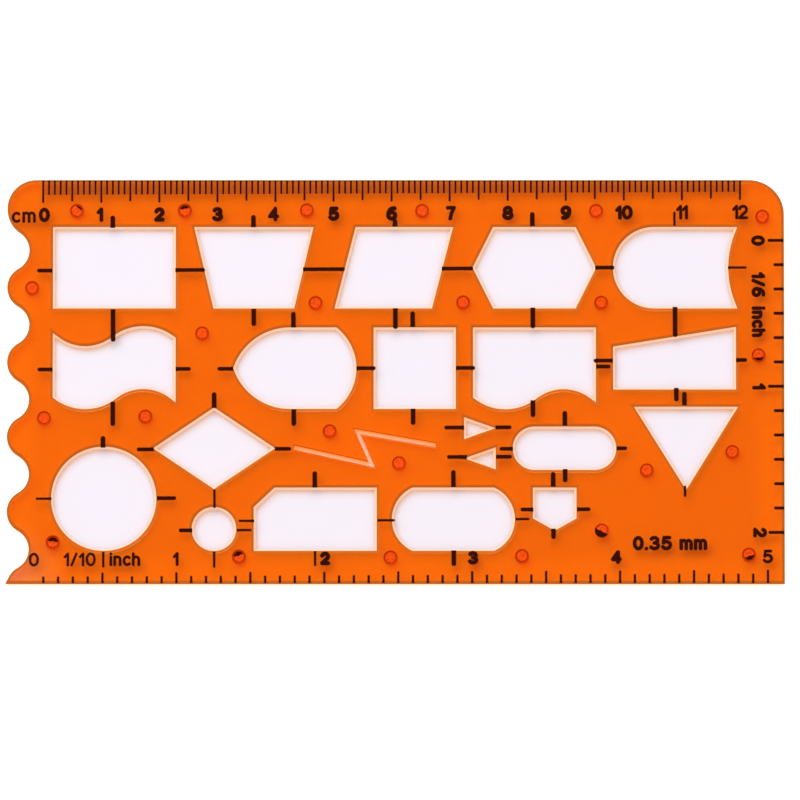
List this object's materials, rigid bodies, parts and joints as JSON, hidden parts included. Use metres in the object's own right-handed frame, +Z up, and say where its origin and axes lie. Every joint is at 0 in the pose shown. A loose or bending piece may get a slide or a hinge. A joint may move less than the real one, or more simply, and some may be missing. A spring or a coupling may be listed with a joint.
{
  "type": "flowchart drawing stencil",
  "caption": "Thin transparent drawing stencil with flowchart symbol cut-outs, edge scales, a scalloped finger edge and raised spacer pips.",
  "frame": {"origin": "centre of the bounding box in plan, on the surface that the pips stand on", "axes": "+X along the sheet from the scalloped edge to the straight end, +Y from the inch edge to the centimetre edge, +Z up from the paper through the readable face"},
  "size_m": [0.1336, 0.0702, 0.0016],
  "materials": {
    "fluorescent_sheet": "clear fluorescent orange plastic, polished faces, edges and cut-out walls that glow lighter",
    "red_pip": "redder orange plastic, lightly polished"
  },
  "bodies": {
    "root": {"template_plate": "fluorescent_sheet", "spacer_pip_01": "red_pip", "spacer_pip_02": "red_pip", "spacer_pip_03": "red_pip", "spacer_pip_04": "red_pip", "spacer_pip_05": "red_pip", "spacer_pip_06": "red_pip", "spacer_pip_07": "red_pip", "spacer_pip_08": "red_pip", "spacer_pip_09": "red_pip", "spacer_pip_10": "red_pip", "spacer_pip_11": "red_pip", "spacer_pip_12": "red_pip", "spacer_pip_13": "red_pip", "spacer_pip_14": "red_pip", "spacer_pip_15": "red_pip", "spacer_pip_16": "red_pip", "spacer_pip_17": "red_pip", "spacer_pip_18": "red_pip", "spacer_pip_19": "red_pip", "spacer_pip_20": "red_pip", "spacer_pip_21": "red_pip", "spacer_pip_22": "red_pip", "spacer_pip_23": "red_pip", "spacer_pip_24": "red_pip"}
  },
  "joints": []
}
